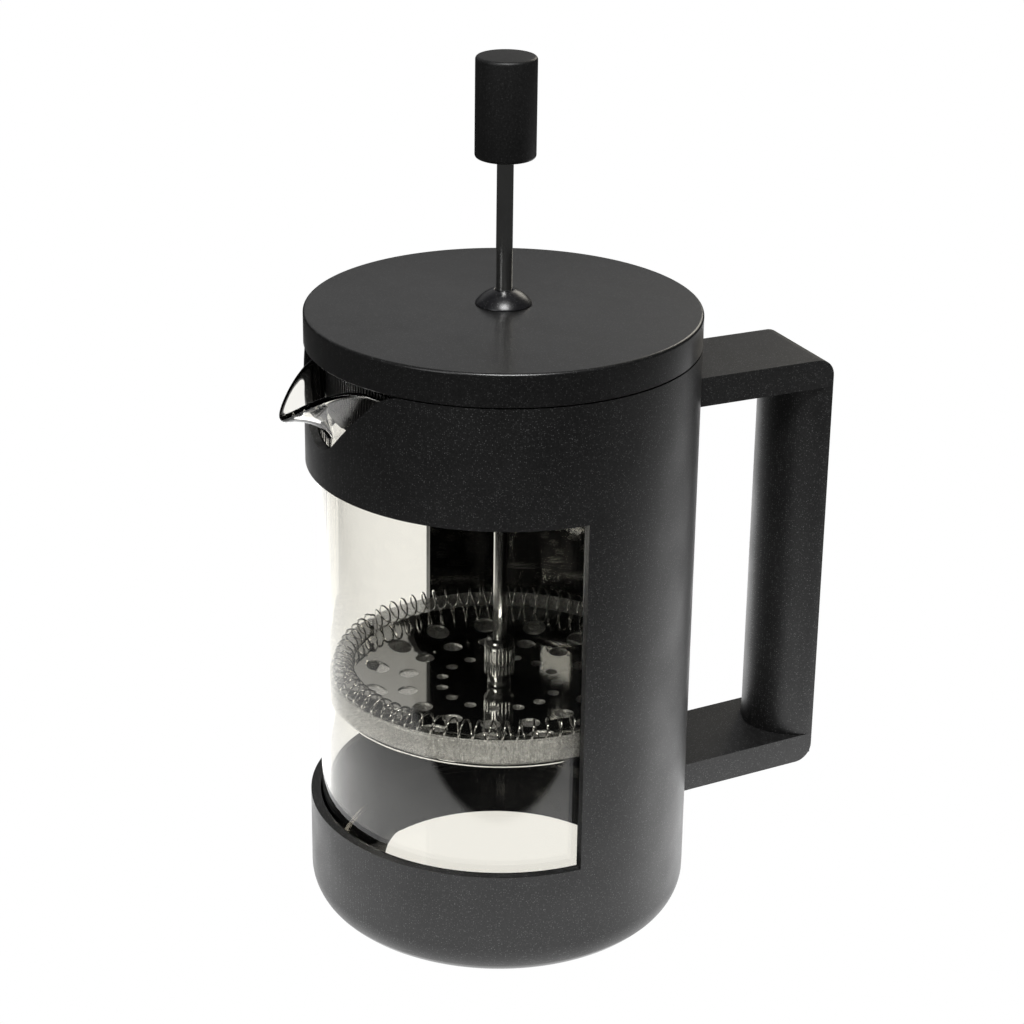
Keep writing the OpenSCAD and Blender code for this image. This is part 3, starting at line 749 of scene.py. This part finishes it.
def grip_bar(name, inset, low, high):
    """An upright bar with the grip's rounded outline, kept inside it by inset."""
    s = sizes()
    deselect()
    face = cage_high[0] - s.grip_edge
    middle = (0, 0, (low + high) / 2)
    bpy.ops.mesh.primitive_cylinder_add(vertices=96, radius=1, depth=high - low, location=middle)
    bar = named(name)
    apply_place(bar)
    power = 2 / 1.75  # above 1, so the outline lies a little inside an ellipse
    depth, half = s.grip_depth - inset, s.handle_width / 2 - inset
    for vertex in bar.data.vertices:
        x, y = vertex.co.x, vertex.co.y
        vertex.co.x = face + (3 * MM if x > 1e-6 else -depth * abs(x) ** power)
        vertex.co.y = half * math.copysign(abs(y) ** power, y)
    tidy(bar)
    return bar


def handle_loop():
    """The handle: two arms, a rounded grip between them and a seat for the cover."""
    s = sizes()
    half, outer = s.handle_width / 2, cage_high[0]
    inner = cage_high[1] - s.wall / 2
    face = outer - s.grip_edge
    low, high = s.handle_bottom + s.arm, s.handle_top - s.arm
    loop = block("handle", (inner - 4 * MM, -half, s.handle_bottom), (outer, half, s.handle_top))
    move_where(loop, lambda co: co.x > face and co.z < low, (0, 0, s.arm_rise))
    for level in (s.handle_bottom + s.arm_rise, s.handle_top):
        bevel_where(loop, lambda co: co.x > face and abs(co.z - level) < MM, s.handle_corner, 10)
    gap = block("gap", (inner - 8 * MM, -2 * half, low), (face, 2 * half, high))
    move_where(gap, lambda co: co.x > face - MM and co.z < low + MM, (0, 0, s.arm_rise))
    combine(loop, gap, "DIFFERENCE")
    grip = grip_bar("grip", 0, low - s.arm / 2, high + s.arm / 2)
    keep = block("keep", (0, -half, 0), (face + 0.4 * MM, half, cage_high[2]))
    combine(grip, keep, "INTERSECT")
    combine(loop, grip, "UNION")
    deselect()
    bore_height = cage_high[2]
    middle = (0, 0, bore_height / 2)
    bpy.ops.mesh.primitive_cylinder_add(vertices=192, radius=inner, depth=bore_height, location=middle)
    bore = named("bore")
    apply_place(bore)
    combine(loop, bore, "DIFFERENCE")
    seat_low = low + s.arm_rise + s.cover_margin
    seat = block(
        "seat",
        (outer - s.cover_depth, -half + s.cover_margin, seat_low),
        (outer + MM, half - s.cover_margin, high - s.cover_margin),
    )
    combine(loop, seat, "DIFFERENCE")
    return loop


class PRESS_OT_cage(bpy.types.Operator):
    """Model the moulded cage with its window, notch and handle"""

    bl_idname = "press.cage"
    bl_label = "Cage"

    def execute(self, context):
        s = sizes()
        shell = cage_wall_ring()
        reach = 2 * cage_high[1]
        window = block("window", (-reach, -reach, s.sill_height), (0, reach, s.sill_height + s.window_height))
        combine(shell, window, "DIFFERENCE")
        combine(shell, notch_cutter(), "DIFFERENCE")
        combine(shell, handle_loop(), "UNION")
        tidy(shell, 0.12 * MM)
        soften(shell, s.edge)
        smooth(shell)
        weigh_normals(shell)
        finish_piece(shell, material_of("cage"), "cage", "cage_plastic", "cage")
        return {"FINISHED"}


class PRESS_OT_handle_cover(bpy.types.Operator):
    """Model the cover that closes the hollow grip"""

    bl_idname = "press.handle_cover"
    bl_label = "Handle cover"

    def execute(self, context):
        cover = copied("grip_cover", "handle_cover")
        soften(cover, 0.25 * MM, 2)
        smooth(cover)
        finish_piece(cover, material_of("cage"), "cage", "cage_plastic", "handle_cover")
        return {"FINISHED"}


class PRESS_OT_beaker(bpy.types.Operator):
    """Model the glass beaker with its drawn spout"""

    bl_idname = "press.beaker"
    bl_label = "Beaker"

    def execute(self, context):
        beaker = copied("glass_beaker", "beaker")
        pick(beaker)
        bpy.ops.object.mode_set(mode="EDIT")
        bpy.ops.mesh.select_all(action="SELECT")
        bpy.ops.mesh.tris_convert_to_quads(face_threshold=math.radians(60), shape_threshold=math.radians(60))
        bpy.ops.object.mode_set(mode="OBJECT")
        modifier = beaker.modifiers.new("Smooth", "SUBSURF")
        modifier.levels = modifier.render_levels = 2
        bpy.ops.object.modifier_apply(modifier=modifier.name)
        bpy.ops.object.shade_smooth()
        finish_piece(beaker, material_of("glass"), "beaker", "beaker_glass", "beaker")
        return {"FINISHED"}


class PRESS_OT_lid(bpy.types.Operator):
    """Model the lid and the strainer below it"""

    bl_idname = "press.lid"
    bl_label = "Lid and strainer"

    def execute(self, context):
        s = sizes()
        radius, top, low = lid_high[1], lid_high[2], lid_low[2]
        bore = s.bush_shank + 0.05 * MM
        top -= s.lid_crown
        under = top - s.lid_plate
        tuck = 0.35 * MM
        rings = [(bore, under), (radius - s.lid_wall, under), (radius - s.lid_wall, low)]
        rings += [(radius - tuck, low), (radius, low + tuck)]
        rings += arc(radius - s.lid_edge, top - s.lid_edge, s.lid_edge, 0, 90, 10)
        flat = radius - s.lid_edge
        for i in range(1, 13):
            reach = flat + (bore - flat) * i / 12
            rings.append((reach, top + s.lid_crown * (1 - (reach / flat) ** 2)))
        disc = turned("lid_disc", rings, steps=256, closed=True)
        smooth(disc, 40)
        weigh_normals(disc)
        finish_piece(disc, material_of("lid"), "lid", "lid_plastic", "lid_cover")
        ring = copied("strainer_ring", "lid_strainer")
        smooth(ring)
        finish_piece(ring, material_of("lid"), "lid", "lid_plastic", "lid_strainer")
        return {"FINISHED"}


class PRESS_OT_bush(bpy.types.Operator):
    """Model the domed bush that guides the rod"""

    bl_idname = "press.bush"
    bl_label = "Shaft bush"

    def execute(self, context):
        bush = copied("guide_bush", "shaft_bush")
        soften(bush, 0.25 * MM, 3)
        smooth(bush)
        finish_piece(bush, material_of("bush"), "bush", "bush_plastic", "shaft_bush")
        return {"FINISHED"}


class PRESS_OT_knob(bpy.types.Operator):
    """Model the knob with its threaded insert"""

    bl_idname = "press.knob"
    bl_label = "Knob"

    def execute(self, context):
        s = sizes()
        radius, low, top, edge = knob_high[1], knob_low[2], knob_high[2], s.knob_edge
        inner = top - 7.6 * MM  # blind end of the hole for the insert
        rings = [(0, inner), (s.knob_bore, inner), (s.knob_bore, low)]
        rings += arc(radius - edge, low + edge, edge, -90, 0, 6)
        rings += arc(radius - edge, top - edge, edge, 0, 90, 6)
        rings += [(0, top)]
        knob = turned("plunger_knob", rings, steps=128)
        smooth(knob, 40)
        finish_piece(knob, material_of("knob"), "plunger", "knob_plastic", "knob")
        insert = copied("threaded_insert", "knob_insert")
        smooth(insert)
        finish_piece(insert, material_of("brass"), "plunger", "insert_brass", "knob_insert")
        return {"FINISHED"}


class PRESS_OT_rod(bpy.types.Operator):
    """Model the stepped rod and the fluted ferrule"""

    bl_idname = "press.rod"
    bl_label = "Rod and ferrule"

    def execute(self, context):
        s = sizes()
        low, top, chamfer = rod_low[2], rod_high[2], 0.3 * MM
        thin, thick = s.rod_lower_radius, s.rod_radius
        rings = [(0, low), (thin - chamfer, low), (thin, low + chamfer), (thin, s.rod_step)]
        rings += [(thick, s.rod_step + thick - thin), (thick, top - chamfer)]
        rings += [(thick - chamfer, top), (0, top)]
        rod = turned("plunger_shaft", rings, steps=48)
        smooth(rod)
        finish_piece(rod, material_of("chrome"), "plunger", "rod_chrome", "plunger_rod")
        ferrule = copied("fluted_ferrule", "rod_ferrule")
        soften(ferrule, 0.06 * MM, 2, 30)
        smooth(ferrule, 40)
        finish_piece(ferrule, material_of("chrome"), "plunger", "rod_chrome", "rod_ferrule")
        return {"FINISHED"}


class PRESS_OT_filter(bpy.types.Operator):
    """Model the filter stack: plate, spring, mesh, cross plate and nut"""

    bl_idname = "press.filter"
    bl_label = "Filter stack"

    def execute(self, context):
        self.holed_plate()
        cross = copied("base_plate", "cross_plate")
        soften(cross, 0.12 * MM, 2, 50)
        smooth(cross, 30)
        finish_piece(cross, material_of("plate"), "plunger", "polished_plate", "cross_plate")
        nut = copied("hex_nut", "hub_nut")
        soften(nut, 0.3 * MM, 2)
        smooth(nut)
        finish_piece(nut, material_of("chrome"), "plunger", "rod_chrome", "hub_nut")
        self.spring()
        self.woven_cup()
        return {"FINISHED"}

    def holed_plate(self):
        """A dished plate with three rings of holes that grow outwards."""
        s = sizes()
        low, edge, thick = plate_low[2], plate_high[1], s.plate
        rise = plate_high[2] - low - thick
        flat, hole = s.plate_flat * edge, s.rod_lower_radius + 0.02 * MM
        slope = [(flat + (edge - flat) * i / 14, low + rise * (i / 14) ** 1.6) for i in range(15)]
        rings = [(hole, low), *slope, *[(r, z + thick) for r, z in reversed(slope)]]
        rings += [(s.boss + 2 * s.emboss, low + thick), (s.boss, low + thick - s.emboss)]
        rings += [(hole, low + thick - s.emboss)]
        plate = turned("spiral_plate", rings, steps=180, closed=True)
        deselect()
        for i in range(s.rows):
            around = math.tau * i / s.rows
            for share, radius in zip(s.ring_shares, s.ring_holes):
                place = (share * edge * math.cos(around), share * edge * math.sin(around), low)
                bpy.ops.mesh.primitive_cylinder_add(vertices=40, radius=radius, depth=20 * MM, location=place)
                bpy.context.object.name = "punch"
        deselect()
        for punch in [item for item in bpy.data.objects if item.name.startswith("punch")]:
            punch.select_set(True)
            bpy.context.view_layer.objects.active = punch
        bpy.ops.object.join()
        punches = named("punches")
        apply_place(punches)
        combine(plate, punches, "DIFFERENCE")
        tidy(plate, 0.01 * MM)
        bpy.ops.object.mode_set(mode="EDIT")
        bpy.ops.mesh.select_all(action="SELECT")
        bpy.ops.mesh.dissolve_limited(angle_limit=math.radians(0.5))
        bpy.ops.object.mode_set(mode="OBJECT")
        soften(plate, 0.14 * MM, 2, 50)
        smooth(plate, 30)
        weigh_normals(plate)
        finish_piece(plate, material_of("plate"), "plunger", "polished_plate", "perforated_plate")

    def woven_cup(self):
        s = sizes()
        radius, low, top = mesh_high[1], mesh_low[2], mesh_high[2]
        bend, thick = s.mesh_bend, s.mesh_thickness
        rings = [(s.rod_lower_radius + 0.02 * MM, low)]
        rings += arc(radius - bend, low + bend, bend, -90, 0, 6)
        rings += [(radius, top), (radius - thick, top)]
        rings += arc(radius - bend, low + bend, bend - thick, 0, -90, 6)
        rings += [(s.rod_lower_radius + 0.02 * MM, low + thick)]
        cup = turned("mesh_cup", rings, steps=192, closed=True)
        smooth(cup, 50)
        finish_piece(cup, material_of("mesh"), "plunger", "woven_mesh", "filter_mesh")

    def spring(self):
        """Winds the wire round a ring as a curve, then makes it a mesh."""
        s = sizes()
        deselect()
        half = (coil_high[2] - coil_low[2]) / 2 - s.wire
        ring = coil_high[1] - half - s.wire
        middle = (coil_high[2] + coil_low[2]) / 2
        per_turn = 16
        count = s.coil_turns * per_turn
        bpy.ops.curve.primitive_nurbs_path_add(location=(0, 0, 0))
        wire = named("wound_spring")
        wire.data.splines.clear()
        spline = wire.data.splines.new("POLY")
        spline.points.add(count - 1)
        for i, point in enumerate(spline.points):
            around, turned_by = math.tau * i / count, math.tau * i / per_turn
            reach = ring + half * math.cos(turned_by)
            height = middle + half * math.sin(turned_by)
            point.co = (reach * math.cos(around), reach * math.sin(around), height, 1)
        spline.use_cyclic_u = True
        wire.data.dimensions = "3D"
        wire.data.bevel_depth = s.wire
        wire.data.bevel_resolution = 1
        pick(wire)
        bpy.ops.object.convert(target="MESH")
        wire = bpy.context.object
        bpy.ops.object.shade_smooth()
        finish_piece(wire, material_of("wire"), "plunger", "spring_steel", "coil_spring")


# ---------------------------------------------------------------- stage


def area_light(name, location, target, size, power, rgb=(1, 1, 1)):
    """A rectangular soft light that faces its target."""
    light = bpy.data.lights.new(name, "AREA")
    light.shape = "RECTANGLE"
    light.size, light.size_y = size
    light.energy = power
    light.color = rgb
    lamp = bpy.data.objects.new(name, light)
    lamp.location = location
    aim = Vector(target) - Vector(location)
    lamp.rotation_euler = aim.to_track_quat("-Z", "Y").to_euler()
    bpy.context.scene.collection.objects.link(lamp)
    return lamp


class PRESS_OT_stage(bpy.types.Operator):
    """Set the pale floor, the soft lights and the camera"""

    bl_idname = "press.stage"
    bl_label = "Stage"

    def execute(self, context):
        scene, st = context.scene, context.scene.press_stage
        scene.view_settings.view_transform = "Standard"
        deselect()
        bpy.ops.mesh.primitive_plane_add(size=24, location=(0, 0, 0))
        floor = named("floor")
        floor.data.materials.append(self.floor_material(st))
        world = scene.world or bpy.data.worlds.new("surroundings")
        scene.world = world
        world.use_nodes = True
        world.node_tree.nodes["Background"].inputs[0].default_value = (1, 1, 1, 1)
        world.node_tree.nodes["Background"].inputs[1].default_value = st.room
        area_light("back", (0.5, 1.3, 0.95), (0, 0, 0.15), (2.6, 1.0), st.back)
        area_light("right", (1.1, 0.84, 0.84), (0, 0, 0.12), (0.6, 0.6), st.right, (1, 0.94, 0.82))
        area_light("left", (-1.1, -0.5, 0.9), (0, 0, 0.12), (0.5, 0.5), st.left)
        area_light("top", (-0.15, -0.4, 1.0), (0, 0, 0.15), (0.36, 0.26), st.top)
        self.camera(scene, st)
        return {"FINISHED"}

    def distance_from(self, tree, place, azimuth, right, back):
        """Distance on the floor from a point that far to the right of the press and behind it."""
        node = tree.nodes.new("ShaderNodeVectorMath")
        node.operation = "DISTANCE"
        node.inputs[1].default_value = Matrix.Rotation(azimuth, 3, "Z") @ Vector((right, back, 0))
        tree.links.new(place, node.inputs[0])
        return node.outputs["Value"]

    def floor_material(self, st):
        """A white floor that glows: evenly bright to the eye, while the light it gives the press is painted
        as two fading pools, with painted shade under the press.
        """
        faint, painted_shade_share = 0.03, 0.02  # painted light beyond the pools, and the share of it left in the painted shade under the press
        material, tree, shader, place = new_material("pale_floor")
        tree.nodes.remove(shader)
        # painted pools of light: the glow that lights the press fades from a point behind it and from the
        # press itself
        far = self.distance_from(tree, place, st.azimuth, st.far_right, st.far_back)
        near = self.distance_from(tree, place, st.azimuth, 0, 0)
        pool = calc(
            tree, "MAXIMUM",
            span(tree, far, st.far_bright, st.far_dark, st.far, faint),
            span(tree, near, st.near_bright, st.near_dark, st.near, faint),
        )
        # painted shade: under the press the glow drops to a small share
        pool = calc(tree, "MULTIPLY", pool, span(tree, near, st.shade, 1.2 * st.shade, painted_shade_share, 1.0))
        path = tree.nodes.new("ShaderNodeLightPath")
        # painted shade in reflections: to mirror rays the floor goes dark beyond its end in front of the
        # press, while to the eye it stays white
        ahead = tree.nodes.new("ShaderNodeVectorMath")
        ahead.operation = "DOT_PRODUCT"
        ahead.inputs[1].default_value = Matrix.Rotation(st.azimuth, 3, "Z") @ Vector((0, -1, 0))
        tree.links.new(place, ahead.inputs[0])
        mirror_shade = span(tree, ahead.outputs["Value"], st.floor_end, 1.04 * st.floor_end, 1.0, 0.04)
        mirrored = calc(tree, "MULTIPLY", pool, mirror_shade)
        pool = span(tree, path.outputs["Is Singular Ray"], 0.0, 1.0, pool, mirrored)
        bounces = calc(tree, "ADD", path.outputs["Diffuse Depth"], path.outputs["Glossy Depth"])
        direct = calc(tree, "LESS_THAN", bounces, 0.5)
        through = calc(tree, "MULTIPLY", path.outputs["Is Transmission Ray"], direct)
        seen = calc(tree, "MAXIMUM", path.outputs["Is Camera Ray"], through)
        strength = span(tree, seen, 0.0, 1.0, pool, 1.0)
        glow = tree.nodes.new("ShaderNodeEmission")
        glow.inputs["Color"].default_value = rgba(colours().floor)
        tree.links.new(strength, glow.inputs["Strength"])
        tree.links.new(glow.outputs[0], tree.nodes["Material Output"].inputs["Surface"])
        return material

    def camera(self, scene, st):
        data = bpy.data.cameras.new("camera")
        data.lens = st.lens
        camera = bpy.data.objects.new("camera", data)
        place = Vector((math.sin(st.azimuth) * st.distance, -math.cos(st.azimuth) * st.distance, st.height))
        facing = Matrix.Rotation(st.azimuth - st.yaw, 4, "Z")
        tilt = Matrix.Rotation(math.pi / 2 - st.pitch, 4, "X")
        roll = Matrix.Rotation(st.roll, 4, "Z")
        camera.matrix_world = Matrix.Translation(place) @ facing @ tilt @ roll
        scene.collection.objects.link(camera)
        scene.camera = camera


OPERATORS = (
    PRESS_OT_cage,
    PRESS_OT_handle_cover,
    PRESS_OT_beaker,
    PRESS_OT_lid,
    PRESS_OT_bush,
    PRESS_OT_knob,
    PRESS_OT_rod,
    PRESS_OT_filter,
    PRESS_OT_stage,
)


class PRESS_PT_panel(bpy.types.Panel):
    """Lists the operators that model the press"""

    bl_label = "French Press"
    bl_idname = "PRESS_PT_panel"
    bl_space_type = "VIEW_3D"
    bl_region_type = "UI"
    bl_category = "French Press"

    def draw(self, context):
        for operator in OPERATORS:
            self.layout.operator(operator.bl_idname)


CLASSES = (PressSizes, PressColours, PressStage, *OPERATORS, PRESS_PT_panel)


def register():
    for cls in CLASSES:
        bpy.utils.register_class(cls)
    bpy.types.Scene.press_sizes = PointerProperty(type=PressSizes)
    bpy.types.Scene.press_colours = PointerProperty(type=PressColours)
    bpy.types.Scene.press_stage = PointerProperty(type=PressStage)


def unregister():
    del bpy.types.Scene.press_stage
    del bpy.types.Scene.press_colours
    del bpy.types.Scene.press_sizes
    for cls in reversed(CLASSES):
        bpy.utils.unregister_class(cls)


def main():
    register()
    bpy.ops.press.stage()
    bpy.ops.press.cage()
    bpy.ops.press.handle_cover()
    bpy.ops.press.beaker()
    bpy.ops.press.lid()
    bpy.ops.press.bush()
    bpy.ops.press.knob()
    bpy.ops.press.rod()
    bpy.ops.press.filter()


if __name__ == "__main__":
    main()
